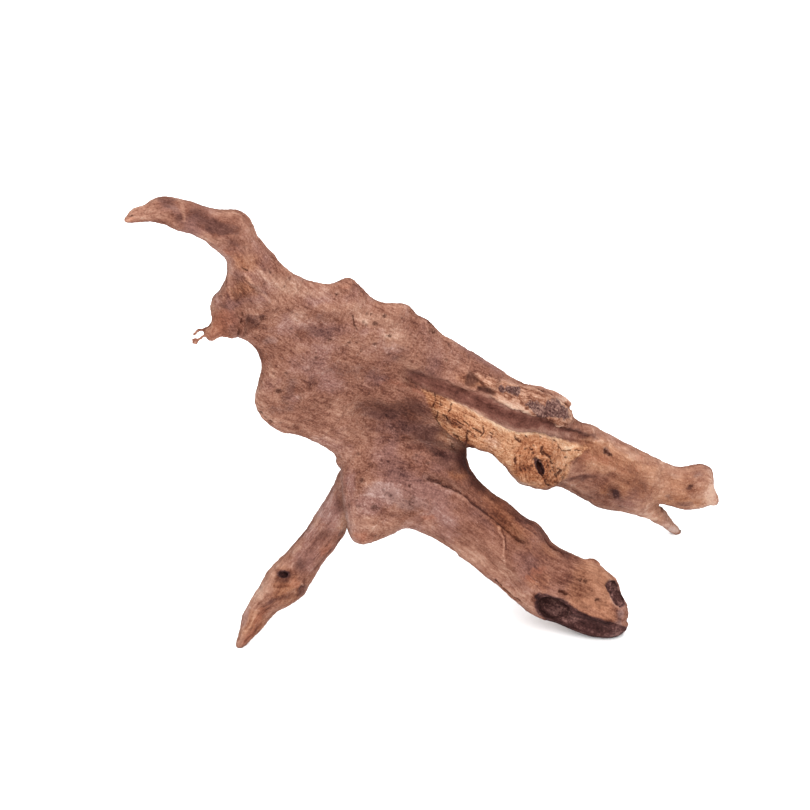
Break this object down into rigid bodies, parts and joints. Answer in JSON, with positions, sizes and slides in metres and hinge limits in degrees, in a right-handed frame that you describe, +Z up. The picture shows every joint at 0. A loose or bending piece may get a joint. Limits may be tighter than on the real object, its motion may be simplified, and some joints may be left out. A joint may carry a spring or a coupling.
{
  "type": "aquarium driftwood",
  "caption": "Dry worn driftwood root with a broad trunk, a curved horn, a snag and spreading limbs, standing on three limb tips.",
  "frame": {"origin": "middle of the box on the ground that the three limb tips stand on", "axes": "+Z up, +X towards the two right-hand limbs, +Y away from the picture's viewer"},
  "size_m": [0.2968, 0.1518, 0.2701],
  "materials": {
    "worn_wood": "matt, mauve-brown, mottled, with streaks along the grain and small pits",
    "rusty_snag_wood": "matt, rusty brown, broken and fibrous",
    "bare_tan_wood": "matt, tan where the bark is broken away, cracked along and across the grain"
  },
  "bodies": {
    "root": {"trunk": "worn_wood", "horn_branch": "worn_wood", "left_stub": "rusty_snag_wood", "left_leg": "worn_wood", "lower_right_limb": "worn_wood", "upper_right_limb": "bare_tan_wood"}
  },
  "joints": []
}
